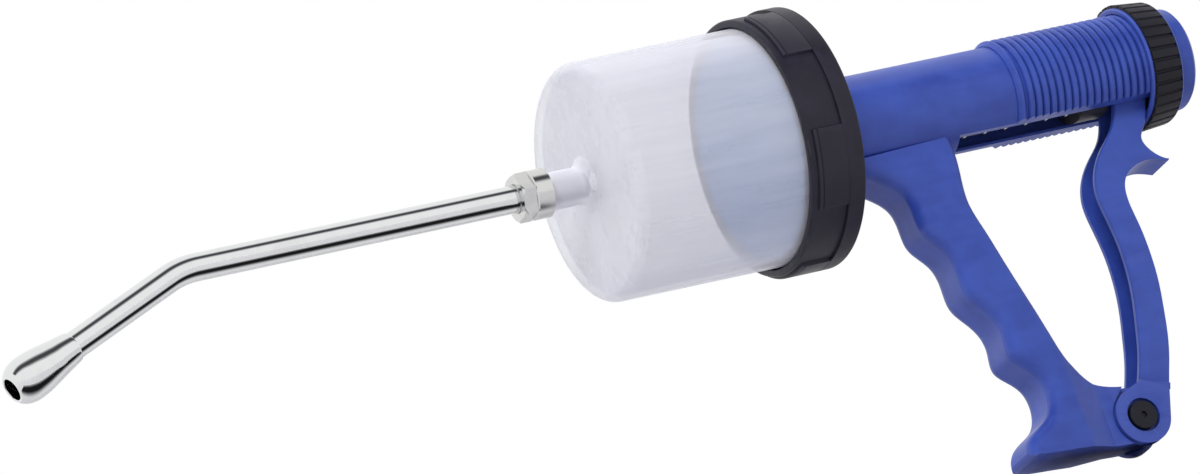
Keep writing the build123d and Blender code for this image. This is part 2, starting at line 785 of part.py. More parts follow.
def nozzle_tube():
    """Bent metal tube, from the ferrule to the socket in the tip."""
    corner = Vector(barrel_front - nozzle_reach, 0, 0)
    start = Vector(seal_front, 0, 0)
    end = nozzle_frame(nozzle_tail - tip_length + tip_socket).origin
    path = FilletPolyline(start, corner, end, radius=bend_radius)
    section = Plane(origin=start, z_dir=(-1, 0, 0))
    outer = sweep(section * Circle(nozzle_radius), path=path)
    inner = sweep(section * Circle(nozzle_radius - nozzle_wall), path=path)
    return outer - inner


def nozzle_tip():
    """Rounded bulb with the mouth in its end."""
    length = tip_length
    neck = tip_neck
    widest = 0.70 * length
    nose = mouth_radius + mouth_lip
    outline = [
        Line((0, 0), (neck, 0)),
        Spline((neck, 0), (neck + 0.5, 0.12 * length), (tip_radius, widest),
               (nose, length), tangents=[(0.4, 1), (-1, 0.25)]),
        Line((nose, length), (0, length)),
        Line((0, length), (0, 0)),
    ]
    bulb = revolve(Plane.XZ * make_face(outline), Axis.Z)
    bulb -= Pos(0, 0, tip_socket / 2) * Cylinder(nozzle_radius + seat_gap, tip_socket)
    bulb -= Pos(0, 0, length / 2) * Cylinder(mouth_radius, length)
    return nozzle_frame(nozzle_tail - tip_length) * bulb


def nozzle_nut():
    """Union nut, hexagonal in front and round behind."""
    hex_rear = nut_front + nut_hex
    nut = hex_x(nut_front, hex_rear, nut_flats)
    crown = rod_x(nut_front, hex_rear, nut_flats / 2 / math.cos(math.pi / 6))
    nut &= chamfer(crown.edges().filter_by(GeomType.CIRCLE).sort_by(Axis.X)[0], 0.9)
    collar = rod_x(hex_rear, nut_rear, nut_collar_radius)
    nut += chamfer(collar.edges().filter_by(GeomType.CIRCLE), 0.5)
    nut -= rod_x(nut_front, nut_rear, nozzle_radius + 2 * pin_gap)
    return nut - rod_x(ferrule_front, nut_rear, union_radius + 2 * seat_gap)


def nozzle_ferrule():
    rear = ferrule_front + ferrule_length
    ferrule = rod_x(ferrule_front, rear, ferrule_radius)
    return ferrule - rod_x(ferrule_front, rear, nozzle_radius + seat_gap)


def nozzle_seal():
    seal = rod_x(seal_front, insert_front, ferrule_radius)
    return seal - rod_x(seal_front, insert_front, outlet_bore)


def union_insert():
    """Threaded steel insert moulded into the barrel's spigot."""
    insert = rod_x(insert_front, spigot_front, union_radius)
    insert += rod_x(spigot_front, barrel_front - insert_inset, insert_radius)
    return insert - rod_x(insert_front, barrel_front, outlet_bore)


parts = {
    "nozzle_tube": nozzle_tube(),
    "nozzle_tip": nozzle_tip(),
    "nozzle_ferrule": nozzle_ferrule(),
    "nozzle_seal": nozzle_seal(),
    "nozzle_nut": nozzle_nut(),
    "union_insert": union_insert(),
    "barrel": barrel(),
    "barrel_gasket": gasket(),
    "barrel_ring": clamp_ring(),
    "gun_body": gun_body(),
    "guide_bush": guide_bush(),
    "return_spring": return_spring(),
    "piston": piston(),
    "piston_seal_front": piston_seal(0),
    "piston_seal_rear": piston_seal(1),
    "piston_washer": piston_washer(),
    "piston_nut": piston_nut(),
    "piston_rod": piston_rod(),
    "rod_locknut": rod_locknut(),
    "crosshead": crosshead(),
    "cross_pin": cross_pin(),
    "lever": lever(),
    "pivot_sleeve": pivot_sleeve(),
    "pivot_pin": pivot_pin(),
    "pivot_retainer": pivot_retainer(),
    "pivot_cap_left": pivot_cap(-1),
    "pivot_cap_right": pivot_cap(1),
    "dose_knob": dose_knob(),
    "dose_grip_ring": dose_grip_ring(),
    "end_plug": end_plug(),
}

os.makedirs("parts", exist_ok=True)
for name, shape in parts.items():
    export_step(shape, f"parts/{name}.step")
print("stroke", round(stroke, 3), "swing", round(swing, 3))
print("litres per stroke", round(math.pi * bore_radius**2 * stroke / 1e6, 4))
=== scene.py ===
import math
import bmesh
import bpy
from mathutils import Euler, Matrix, Vector


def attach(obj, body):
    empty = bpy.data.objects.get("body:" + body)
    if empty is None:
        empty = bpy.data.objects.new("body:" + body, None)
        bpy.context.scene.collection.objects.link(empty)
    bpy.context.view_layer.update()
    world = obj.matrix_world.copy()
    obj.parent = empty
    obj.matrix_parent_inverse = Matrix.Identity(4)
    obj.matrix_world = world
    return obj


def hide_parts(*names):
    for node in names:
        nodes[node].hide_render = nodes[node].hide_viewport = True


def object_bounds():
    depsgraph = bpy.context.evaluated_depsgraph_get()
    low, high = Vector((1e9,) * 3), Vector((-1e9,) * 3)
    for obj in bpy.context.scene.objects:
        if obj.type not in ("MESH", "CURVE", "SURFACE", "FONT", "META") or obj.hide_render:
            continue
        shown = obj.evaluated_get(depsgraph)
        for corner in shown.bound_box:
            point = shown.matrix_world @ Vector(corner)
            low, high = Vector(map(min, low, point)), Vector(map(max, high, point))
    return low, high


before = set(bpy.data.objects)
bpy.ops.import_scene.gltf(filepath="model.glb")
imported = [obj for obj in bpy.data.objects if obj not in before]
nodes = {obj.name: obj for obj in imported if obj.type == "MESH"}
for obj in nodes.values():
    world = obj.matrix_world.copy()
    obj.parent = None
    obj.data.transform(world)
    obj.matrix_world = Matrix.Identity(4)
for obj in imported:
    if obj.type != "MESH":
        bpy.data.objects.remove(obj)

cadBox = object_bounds()
mm = 0.001  # sizes below are written in millimetres


class Field:  # a socket with arithmetic, so a mask reads as a plain sum
    def __init__(self, owner, socket):
        self.owner, self.socket = owner, socket

    def calc(self, operation, first, second):
        flat = all(not isinstance(v, Field) or v.socket.type == "VALUE" for v in (first, second))
        kind = "ShaderNodeMath" if flat else "ShaderNodeVectorMath"
        return self.owner.add(kind, {"operation": operation}, {0: first, 1: second})

    def __add__(self, other): return self.calc("ADD", self, other)
    def __radd__(self, other): return self.calc("ADD", other, self)
    def __sub__(self, other): return self.calc("SUBTRACT", self, other)
    def __rsub__(self, other): return self.calc("SUBTRACT", other, self)
    def __mul__(self, other): return self.calc("MULTIPLY", self, other)
    def __rmul__(self, other): return self.calc("MULTIPLY", other, self)


class NodeSet:  # a node tree and the one way to add to it
    def __init__(self, tree):
        self.tree = tree

    def add(self, kind, settings=None, inputs=None, output=0):
        node = self.tree.nodes.new(kind)
        for key, value in (settings or {}).items():
            setattr(node, key, value)
        for key, value in (inputs or {}).items():
            self.feed(node.inputs[key], value)
        return Field(self, node.outputs[output])

    def feed(self, socket, value):
        if isinstance(value, Field):
            self.tree.links.new(value.socket, socket)
        elif socket.type == "VECTOR" and not hasattr(value, "__len__"):
            socket.default_value = (value, value, value)
        elif socket.type == "RGBA" and len(value) == 3:
            socket.default_value = (*value, 1)
        else:
            socket.default_value = value


class Finish(NodeSet):  # one material and the nodes behind it
    def __init__(self, name, fixed):
        self.material = bpy.data.materials.new(name)
        self.material.use_nodes = True
        super().__init__(self.material.node_tree)
        self.shader = self.tree.nodes["Principled BSDF"]
        for socket, value in fixed.items():
            self.feed(self.shader.inputs[socket], value)
        self.place = self.add("ShaderNodeTexCoord", output="Object")

    def noise(self, size, detail=3, rough=0.55, stretch=None, warp=0.0):
        # size is the width of one blotch in mm
        place = self.place if stretch is None else self.place * Vector(stretch)
        return self.add("ShaderNodeTexNoise", {}, {"Vector": place, "Scale": 1000 / size, "Detail": detail,
                                                   "Roughness": rough, "Distortion": warp})

    def band(self, value, low, high, toLow=0.0, toHigh=1.0):
        return self.add("ShaderNodeMapRange", {"interpolation_type": "SMOOTHSTEP"},
                        {"Value": value, "From Min": low, "From Max": high,
                         "To Min": toLow, "To Max": toHigh})

    def blend(self, factor, first, second):
        return self.add("ShaderNodeMix", {"data_type": "RGBA"}, {0: factor, 6: first, 7: second}, 2)

    def edges(self):  # 1 along the outer edges: rubbed wear on the blue plastic, a painted edge highlight on the black plastics
        return self.band(self.add("ShaderNodeNewGeometry", output="Pointiness"), 0.52, 0.60)

    def bump(self, height, strength, depth):
        return self.add("ShaderNodeBump", {}, {"Height": height, "Strength": strength,
                                               "Distance": depth * mm})

    def drive(self, **fields):
        for name, value in fields.items():
            self.feed(self.shader.inputs[name.replace("_", " ")], value)
        return self.material


def scaled(colour, factor):
    return tuple(channel * factor for channel in colour)


def dressNode(material, *names):
    for name in names:
        mesh = nodes[name].data
        mesh.materials.clear()
        mesh.materials.append(material)


# materials
def makeBluePlastic():
    look = {"base": (0.041, 0.084, 0.405), "dark": (0.030, 0.061, 0.335), "edgeWearAndHighlight": (0.090, 0.135, 0.490),
            "edgeWearAndHighlightShare": 0.35, "gloss": 0.38, "cloudSize": 14.0, "flowSize": 6.0, "scratchSize": 1.1,
            "peelSize": 0.7, "waveSize": 9.0, "bump": 0.28, "bumpDepth": 0.06}
    blue = Finish("bluePlastic", {"IOR": 1.49, "Specular IOR Level": 0.45})
    cloud = blue.noise(look["cloudSize"], 4, 0.6)
    flow = blue.noise(look["flowSize"], 3, 0.5, (0.25, 1, 1), 0.4)
    colour = blue.blend(blue.band(cloud * 0.6 + flow * 0.4, 0.35, 0.65), look["dark"], look["base"])
    colour = blue.blend(blue.edges() * look["edgeWearAndHighlightShare"], colour, look["edgeWearAndHighlight"])
    scratch = blue.band(blue.noise(look["scratchSize"], 6, 0.75, (0.05, 1, 1), 0.8), 0.60, 0.68)
    peel = blue.noise(look["peelSize"], 2, 0.5)
    height = peel * 0.6 + blue.noise(look["waveSize"], 2) * 1.4 - scratch * 0.25
    rough = blue.band(cloud, 0.3, 0.7, look["gloss"] - 0.05, look["gloss"] + 0.08) + scratch * 0.10
    return blue.drive(Base_Color=colour, Roughness=rough,
                      Normal=blue.bump(height, look["bump"], look["bumpDepth"]))


def makeBlackPlastic(name, base, gloss):
    look = {"worn": 1.5, "edge": 2.1, "edgeLift": 0.008, "edgeWearAndHighlightShare": 0.5, "cloudSize": 11.0, "grainSize": 0.45,
            "bump": 0.35, "bumpDepth": 0.05}
    black = Finish(name, {"IOR": 1.5, "Specular IOR Level": 0.28})
    cloud = black.noise(look["cloudSize"], 4, 0.6)
    grain = black.noise(look["grainSize"], 2, 0.6)
    # the lighter colour along the outer edges is a painted edge highlight
    edgeWearAndHighlight = tuple(channel + look["edgeLift"] for channel in scaled(base, look["edge"]))
    colour = black.blend(black.band(cloud, 0.35, 0.7), base, scaled(base, look["worn"]))
    colour = black.blend(black.edges() * look["edgeWearAndHighlightShare"], colour, edgeWearAndHighlight)
    rough = black.band(cloud + grain * 0.4, 0.4, 0.95, gloss - 0.06, gloss + 0.12)
    height = grain * 0.8 + cloud * 1.2
    return black.drive(Base_Color=colour, Roughness=rough,
                       Normal=black.bump(height, look["bump"], look["bumpDepth"]))


def makeMilkyPlastic():
    look = {"tint": (0.80, 0.80, 0.86), "deep": (0.74, 0.745, 0.82), "thin": 0.30, "thick": 0.74,
            "spigotEnd": -0.2365, "spigotFade": 0.003, "spigotAlpha": 0.3, "streakAlpha": 0.05,
            "cloudSize": 26.0, "streakSize": 9.0, "grainSize": 1.2, "bump": 0.09, "bumpDepth": 0.05}
    milky = Finish("milkyPlastic", {"IOR": 1.45, "Specular IOR Level": 0.35})
    facing = milky.add("ShaderNodeLayerWeight", {}, {"Blend": 0.35}, "Facing")
    cloud = milky.noise(look["cloudSize"], 3, 0.5, warp=0.4)
    streak = milky.noise(look["streakSize"], 3, 0.5, (0.10, 1, 1), 0.3)
    colour = milky.blend(milky.band(cloud * 0.5 + streak * 0.5, 0.3, 0.7), look["deep"], look["tint"])
    along = milky.add("ShaderNodeSeparateXYZ", {}, {"Vector": milky.place}, "X")
    spigot = milky.band(along, look["spigotEnd"] - look["spigotFade"], look["spigotEnd"],
                        look["spigotAlpha"], 0)  # the spigot shows denser than the barrel
    alpha = milky.band(facing, 0.10, 0.90, look["thin"], look["thick"])
    alpha = alpha + milky.band(streak, 0.35, 0.7) * look["streakAlpha"] + spigot
    rough = milky.band(streak, 0.35, 0.65, 0.26, 0.33)
    height = cloud + milky.noise(look["grainSize"], 2) * 0.1
    return milky.drive(Base_Color=colour, Alpha=alpha, Roughness=rough,
                       Normal=milky.bump(height, look["bump"], look["bumpDepth"]))


def makeMetal(name, base, gloss, turned, smeared=0.5):
    look = {"dull": 0.93, "smearSize": 9.0, "lineSize": 0.35, "bump": 0.08, "bumpDepth": 0.01}
    metal = Finish(name, {"Metallic": 1.0})
    smear = metal.noise(look["smearSize"], 4, 0.6, warp=0.8)
    lines = metal.noise(look["lineSize"], 2, 0.5, turned)
    colour = metal.blend(metal.band(smear, 0.45, 0.75), base, scaled(base, look["dull"]))
    rough = metal.band(smear, 0.35, 0.8, gloss, gloss + 0.06 * smeared) + metal.band(lines, 0.5, 0.8) * 0.03
    height = lines + smear * (0.8 * smeared)
    return metal.drive(Base_Color=colour, Roughness=rough,
                       Normal=metal.bump(height, look["bump"], look["bumpDepth"]))


def makeRubber():
    look = {"dark": (0.012, 0.012, 0.013), "worn": (0.030, 0.030, 0.032), "cloudSize": 3.0, "grainSize": 0.5,
            "bump": 0.3, "bumpDepth": 0.04}
    rubber = Finish("sealRubber", {"Specular IOR Level": 0.35})
    cloud = rubber.noise(look["cloudSize"], 4, 0.6)
    colour = rubber.blend(rubber.band(cloud, 0.3, 0.7), look["dark"], look["worn"])
    height = rubber.noise(look["grainSize"], 2) + cloud
    return rubber.drive(Base_Color=colour, Roughness=rubber.band(cloud, 0.3, 0.7, 0.5, 0.7),
                        Normal=rubber.bump(height, look["bump"], look["bumpDepth"]))


def makePaleMoulded(name, base, gloss):
    look = {"dim": 0.86, "cloudSize": 10.0, "flowSize": 3.0, "grainSize": 0.8, "bump": 0.25,
            "bumpDepth": 0.05}
    moulded = Finish(name, {"IOR": 1.49, "Specular IOR Level": 0.4})
    cloud = moulded.noise(look["cloudSize"], 4, 0.6)
    flow = moulded.noise(look["flowSize"], 3, 0.5, (1, 0.2, 1), 0.8)
    colour = moulded.blend(moulded.band(cloud * 0.7 + flow * 0.3, 0.3, 0.7), scaled(base, look["dim"]), base)
    height = moulded.noise(look["grainSize"], 2) + cloud * 1.5
    return moulded.drive(Base_Color=colour, Roughness=moulded.band(flow, 0.3, 0.7, gloss, gloss + 0.1),
                         Normal=moulded.bump(height, look["bump"], look["bumpDepth"]))


bluePlastic = makeBluePlastic()
ringPlastic = makeBlackPlastic("ringPlastic", (0.013, 0.012, 0.021), 0.42)
knurlPlastic = makeBlackPlastic("knurlPlastic", (0.006, 0.006, 0.011), 0.44)
capPlastic = makeBlackPlastic("capPlastic", (0.005, 0.005, 0.010), 0.42)
milkyPlastic = makeMilkyPlastic()
chrome = makeMetal("chromePlate", (0.78, 0.79, 0.79), 0.06, (0.2, 1, 1), 0.2)
nutChrome = makeMetal("nutChrome", (0.68, 0.68, 0.67), 0.13, (1, 0.2, 0.2))
steel = makeMetal("turnedSteel", (0.56, 0.57, 0.58), 0.20, (1, 0.15, 0.15))
wire = makeMetal("drawnWire", (0.50, 0.51, 0.52), 0.18, (0.3, 1, 1))
brass = makeMetal("turnedBrass", (0.70, 0.52, 0.22), 0.22, (1, 0.15, 0.15))
rubber = makeRubber()
pistonPlastic = makePaleMoulded("pistonPlastic", (0.15, 0.31, 0.60), 0.30)
# painted shade: the crosshead and the guide bush are pale plastic, coloured dark here for the shade inside
# the slot where they sit
shadedInnerPlastic = makePaleMoulded("shadedInnerPlastic", (0.035, 0.035, 0.042), 0.42)
print("materials ready")

dressNode(bluePlastic, "gun_body", "lever", "dose_knob", "end_plug")
dressNode(capPlastic, "pivot_cap_left", "pivot_cap_right")
dressNode(chrome, "nozzle_ferrule")
dressNode(brass, "pivot_sleeve")
dressNode(steel, "union_insert", "piston_washer", "piston_nut", "piston_rod", "rod_locknut", "cross_pin",
          "pivot_pin", "pivot_retainer")
dressNode(wire, "return_spring")
dressNode(rubber, "barrel_gasket", "piston_seal_front", "piston_seal_rear", "nozzle_seal")
dressNode(pistonPlastic, "piston")
dressNode(shadedInnerPlastic, "crosshead", "guide_bush")


# shapes turned about the barrel axis
def roundCorners(corners, steps=6):  # (x, radius, rounding) corners of a closed outline, to plain points
    points = []
    for i, (x, r, rounding) in enumerate(corners):
        corner = Vector((x, r))
        if not rounding:
            points.append(corner)
            continue
        before = (Vector(corners[i - 1][:2]) - corner).normalized()
        after = (Vector(corners[(i + 1) % len(corners)][:2]) - corner).normalized()
        half = before.angle(after) / 2
        middle = corner + (before + after).normalized() * rounding / math.sin(half)
        start = (corner + before * rounding / math.tan(half) - middle).normalized()
        end = (corner + after * rounding / math.tan(half) - middle).normalized()
        points += [middle + start.slerp(end, step / steps) * rounding for step in range(steps + 1)]
    return points


def evenAngles(count):
    return [math.tau * i / count for i in range(count)]


def turn(name, outline, angles, shape=None, place=None, path=None, crease=32):
    # shape gives the radius at (x, radius, angle); path gives the matrix of each point's own ring
    form = bmesh.new()
    rings = []
    for i, (x, r) in enumerate(outline):
        ring = []
        for angle in angles:
            radius = shape(x, r, angle) if shape else r
            point = Vector((x, -radius * math.sin(angle), radius * math.cos(angle)))
            if path:
                point = path[i] @ Vector((0, point.y, point.z))
            ring.append(form.verts.new(point * mm))
        rings.append(ring)
    for i, ring in enumerate(rings):
        following = rings[(i + 1) % len(rings)]
        for j in range(len(ring)):
            k = (j + 1) % len(ring)
            form.faces.new((ring[j], ring[k], following[k], following[j]))
    bmesh.ops.recalc_face_normals(form, faces=form.faces)
    for face in form.faces:
        face.smooth = True
    for edge in form.edges:
        edge.smooth = edge.calc_face_angle(0) < math.radians(crease)
    mesh = bpy.data.meshes.new(name)
    form.to_mesh(mesh)
    form.free()
    piece = bpy.data.objects.new(name, mesh)
    if place:
        mesh.transform(place)
    bpy.context.scene.collection.objects.link(piece)
    return piece


def fit(piece, material, body, slot, *replaced):
    piece.data.materials.append(material)
    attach(piece, body)
    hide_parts(*replaced)


def makeBarrel():
    size = {"front": -235.6, "rear": -166.4, "end": -163.8, "chamber": -232.2, "radius": 42.0,
            "rearRadius": 42.4, "rim": 44.1, "bore": 40.2, "spigot": 6.6, "spigotFront": -250.6, "foot": 9.6,
            "footFront": -238.6, "insert": 4.66, "insertEnd": -236.1, "outlet": 3.2, "edge": 4.0,
            "footCurve": 2.2, "rootCurve": 1.6, "spigotEdge": 0.5, "insertEdge": 0.2, "chamberEdge": 1.4,
            "smallEdge": 0.3, "steps": 9, "sides": 180}
    small = size["smallEdge"]
    outline = roundCorners([
        (size["spigotFront"], size["insert"], size["insertEdge"]),
        (size["spigotFront"], size["spigot"], size["spigotEdge"]),
        (size["footFront"], size["spigot"], size["footCurve"]),
        (size["front"], size["foot"], size["rootCurve"]),
        (size["front"], size["radius"], size["edge"]),
        (size["rear"], size["rearRadius"], small), (size["rear"], size["rim"], small),
        (size["end"], size["rim"], small), (size["end"], size["bore"], small),
        (size["chamber"], size["bore"], size["chamberEdge"]), (size["chamber"], size["outlet"], small),
        (size["insertEnd"], size["outlet"], 0), (size["insertEnd"], size["insert"], 0)], size["steps"])
    piece = turn("barrelShell", outline, evenAngles(size["sides"]))
    fit(piece, milkyPlastic, "gun", "barrel_clear", "barrel")


nozzleBend = {"corner": -387.2, "angle": math.radians(22.0)}  # where the two straight runs would meet


def makeNozzleTube():
    size = {"start": -258.5, "bend": 30.0, "tail": 60.6, "radius": 4.85, "bore": 3.7, "edge": 0.25,
            "bendSteps": 24, "sides": 64}
    corner, angle = nozzleBend["corner"], nozzleBend["angle"]
    lead = size["bend"] * math.tan(angle / 2)
    stations = [(size["start"], 0.0, 0.0), (size["start"] - size["edge"], 0.0, 0.0)]
    for step in range(size["bendSteps"] + 1):
        turned = angle * step / size["bendSteps"]
        stations.append((corner + lead - size["bend"] * math.sin(turned),
                         size["bend"] * (math.cos(turned) - 1), turned))
    for beyond in (size["tail"] - size["edge"], size["tail"]):
        stations.append((corner - beyond * math.cos(angle), -beyond * math.sin(angle), angle))
    ends = (0, len(stations) - 1)
    outer = [(0, size["radius"] - (size["edge"] if i in ends else 0)) for i in range(len(stations))]
    inner = [(0, size["bore"])] * len(stations)
    path = [Matrix.Translation((x, 0, z)) @ Matrix.Rotation(-turned, 4, "Y") for x, z, turned in stations]
    piece = turn("nozzlePipe", outer + inner, evenAngles(size["sides"]), path=path + path[::-1])
    fit(piece, chrome, "nozzle", "nozzle_chrome", "nozzle_tube")


def curve(points, steps):  # a smooth line through (x, radius) points
    ends = [points[0]] + points + [points[-1]]
    line = []
    for a, b, c, d in zip(ends, ends[1:], ends[2:], ends[3:]):
        for step in range(steps):
            t = step / steps
            line.append(tuple(0.5 * (2 * q + (r - p) * t + (2 * p - 5 * q + 4 * r - s) * t**2
                                     + (3 * q - p - 3 * r + s) * t**3) for p, q, r, s in zip(a, b, c, d)))
    return line + [points[-1]]


def makeNozzleTip():
    size = {"tail": 75.2, "length": 26.6, "socket": 12.0, "socketRadius": 4.9, "mouth": 4.0, "lip": 0.8,
            "lipRounding": 0.3, "lipSteps": 6, "curveSteps": 5, "sides": 96}
    bulb = [(0, 5.35), (0.3, 5.5), (3.2, 5.98), (7.0, 6.58), (11.0, 7.28), (15.0, 7.85), (18.6, 8.05),
            (21.2, 7.9), (23.4, 7.3), (25.0, 6.45), (26.1, 5.5),
            (size["length"], size["mouth"] + size["lip"])]
    outline = curve(bulb, size["curveSteps"])
    rounding = size["lipRounding"]
    for step in range(1, size["lipSteps"] + 1):
        turned = math.pi / 2 * step / size["lipSteps"]
        outline.append((size["length"] - rounding * (1 - math.cos(turned)),
                        size["mouth"] + rounding * (1 - math.sin(turned))))
    outline += [(size["socket"], size["mouth"]), (size["socket"], size["socketRadius"]),
                (0, size["socketRadius"])]
    corner, angle = nozzleBend["corner"], nozzleBend["angle"]
    beyond = size["tail"] - size["length"]
    foot = Vector((corner - beyond * math.cos(angle), 0, -beyond * math.sin(angle)))
    place = Matrix.Translation(foot * mm) @ Matrix.Rotation(-angle, 4, "Y") @ Matrix.Scale(-1, 4, (1, 0, 0))
    piece = turn("nozzleBulb", outline, evenAngles(size["sides"]), place=place)
    piece.data.flip_normals()  # place mirrors it
    fit(piece, chrome, "nozzle", "nozzle_chrome", "nozzle_tip")


def makeUnionNut():
    size = {"front": -262.5, "hexEnd": -257.5, "rear": -250.9, "flats": 15.2, "collar": 8.7, "bore": 4.93,
            "inside": 6.28, "insideFront": -260.5, "crown": 0.9, "crownSteps": 6, "chamfer": 0.4,
            "shoulder": 0.03, "collarDrop": 0.5, "collarRun": 0.35, "roundBelow": 6.78, "sides": 144}
    halfFlats, sixth = size["flats"] / 2, math.pi / 3
    corner = halfFlats / math.cos(sixth / 2)

    def hexagon(x, r, angle):
        if x > size["hexEnd"] - size["shoulder"] / 2 or r < size["roundBelow"]:
            return r
        offFlat = (angle + sixth / 2) % sixth - sixth / 2
        return min(r, halfFlats / math.cos(offFlat))

    front, rear, end, chamfer = size["front"], size["rear"], size["hexEnd"], size["chamfer"]
    outline = [(front, size["bore"] + chamfer)]
    for step in range(size["crownSteps"] + 1):
        share = step / size["crownSteps"]
        outline.append((front + size["crown"] * share, corner - size["crown"] * (1 - share)))
    outline += [(end - size["shoulder"], corner), (end, size["collar"] - size["collarDrop"]),
                (end + size["collarRun"], size["collar"]), (rear - chamfer, size["collar"]),
                (rear, size["collar"] - chamfer), (rear, size["inside"]),
                (size["insideFront"], size["inside"]), (size["insideFront"], size["bore"]),
                (front + chamfer, size["bore"])]
    piece = turn("unionNut", outline, evenAngles(size["sides"]), hexagon, crease=20)
    fit(piece, nutChrome, "gun", "nozzle_chrome", "nozzle_nut")


def makeClampRing():
    size = {"front": -171.5, "rear": -150.9, "padFront": -169.0, "padRear": -157.6, "core": 45.54,
            "pad": 46.64, "lipBore": 42.46, "bore": 44.16, "lipEnd": -166.4, "pads": 5, "turn": 33.0,
            "bevel": 0.35, "rearBevel": 0.15, "groove": 0.22, "grooveFront": -167.9, "grooveWidth": 0.45,
            "grooveSlope": 0.1, "rise": 0.3, "bandStart": 3, "edge": 1.0, "smallEdge": 0.3, "hair": 0.01,
            "ease": 0.5, "sides": 180}
    spacing = math.tau / size["pads"]
    ease = math.radians(size["ease"])
    firstGap = math.radians(size["turn"] - 90)
    hair = size["hair"]  # the least step between two rings

    def recessed(angle):  # 0 on a pad, 1 between two pads
        off = (angle - firstGap + spacing / 2) % spacing - spacing / 2
        return min(max((spacing / 4 - abs(off)) / ease + 0.5, 0), 1)

    def padded(x, r, angle):
        if r < size["core"] + hair or x > size["padRear"] + hair:
            return r
        return r + (size["core"] - r) * recessed(angle)

    pad, core, bevel, small = size["pad"], size["core"], size["bevel"], size["smallEdge"]
    padFront, padRear, slope = size["padFront"], size["padRear"], size["grooveSlope"]
    floor, cut, cutEnd = pad - size["groove"], size["grooveFront"], size["grooveFront"] + size["grooveWidth"]
    outline = roundCorners([(size["front"], size["lipBore"], small), (size["front"], core, size["edge"]),
                            (padFront - hair, core, 0)])
    outline += [(padFront, pad - bevel), (padFront + bevel, pad), (cut, pad), (cut + slope, floor),
                (cutEnd, floor), (cutEnd + slope, pad), (padRear - bevel, pad),
                (padRear, pad - size["rearBevel"]), (padRear + 2 * hair, pad - size["rearBevel"]),
                (padRear + size["rise"], pad)]
    outline += roundCorners([(padRear + size["bandStart"], pad, 0), (size["rear"], pad, size["edge"]),
                             (size["rear"], size["bore"], small), (size["lipEnd"], size["bore"], 0),
                             (size["lipEnd"], size["lipBore"], 0)])
    angles = evenAngles(size["sides"])
    for number in range(size["pads"]):
        for side in (-1, 1):  # close rings where a pad begins and ends
            edge = firstGap + spacing * (number + side / 4)
            angles += [(edge + ease * share) % math.tau for share in (-0.5, -0.25, 0, 0.25, 0.5)]
    angles = sorted({round(angle, 6) for angle in angles})
    piece = turn("clampRing", outline, angles, padded, crease=25)
    fit(piece, ringPlastic, "gun", "ring_plastic", "barrel_ring")


def makeGripRing():
    size = {"front": -19.6, "rear": -8.2, "frontRadius": 23.4, "rearRadius": 22.35, "bore": 21.16,
            "flutes": 34, "depth": 0.7, "width": 1.3, "edge": 0.35, "roundBelow": 21.66, "sidesEach": 24}
    spacing = math.tau / size["flutes"]

    def fluted(x, r, angle):
        if r < size["roundBelow"]:
            return r
        off = (angle + spacing / 2) % spacing - spacing / 2
        reach = min(abs(off) * r / (size["width"] / 2), 1)
        return r - size["depth"] * (1 - reach**4)

    outline = roundCorners([(size["front"], size["bore"], 0),
                            (size["front"], size["frontRadius"], size["edge"]),
                            (size["rear"], size["rearRadius"], size["edge"]),
                            (size["rear"], size["bore"], 0)])
    piece = turn("knurledRing", outline, evenAngles(size["flutes"] * size["sidesEach"]), fluted, crease=40)
    fit(piece, knurlPlastic, "dose_dial", "grip_plastic", "dose_grip_ring")


makeBarrel()
makeNozzleTube()
makeNozzleTip()
makeUnionNut()
makeClampRing()
makeGripRing()
print("pieces ready")


# stage: floor, flags, lamps and camera, in metres
def makeSheet(name, corners, paint, flag=False):
    mesh = bpy.data.meshes.new(name)
    mesh.from_pydata(corners, [], [range(len(corners))])
    sheet = bpy.data.objects.new(name, mesh)
    bpy.context.scene.collection.objects.link(sheet)
    mesh.materials.append(paint)
    if flag:  # seen in gloss only: a glowing sheet that paints the reflections on metal and plastic
        sheet.visible_camera = sheet.visible_diffuse = False
        sheet.visible_shadow = sheet.visible_transmission = False


def makeFloor():
    stage = {"size": 8.0, "below": 0.4 * mm, "paint": (0.72, 0.71, 0.73), "mottle": 0.985,
             "cloudSize": 240.0, "rough": (0.8, 0.9), "centre": (-0.23, 0, 0), "fade": (0.35, 1.1)}
    floorZ = cadBox[0].z - stage["below"]
    half = stage["size"] / 2
    paint = Finish("floorPaint", {"Specular IOR Level": 0.1})
    cloud = paint.noise(stage["cloudSize"], 3)
    colour = paint.blend(cloud, stage["paint"], scaled(stage["paint"], stage["mottle"]))
    paint.drive(Base_Color=colour, Roughness=paint.band(cloud, 0.3, 0.7, *stage["rough"]))
    # from underneath and far from the gun, the floor lets the white backdrop through
    underside = paint.add("ShaderNodeNewGeometry", output="Backfacing")
    direct, glossy, through = (paint.add("ShaderNodeLightPath", output=ray)
                               for ray in ("Is Camera Ray", "Is Glossy Ray", "Is Transmission Ray"))
    fromGun = paint.place - Vector(stage["centre"])
    away = paint.add("ShaderNodeVectorMath", {"operation": "LENGTH"}, {0: fromGun}, "Value")
    far = paint.band(away, *stage["fade"])
    hidden = paint.add("ShaderNodeMath", {"operation": "MAXIMUM"},
                       {0: underside * direct, 1: far * (direct + glossy + through)})
    clear = paint.add("ShaderNodeBsdfTransparent")
    solid = Field(paint, paint.shader.outputs[0])
    shown = paint.add("ShaderNodeMixShader", {}, {0: hidden, 1: solid, 2: clear})
    paint.feed(paint.tree.nodes["Material Output"].inputs["Surface"], shown)
    corners = [(x, y, floorZ) for x, y in ((-half, -half), (half, -half), (half, half), (-half, half))]
    makeSheet("floor", corners, paint.material)


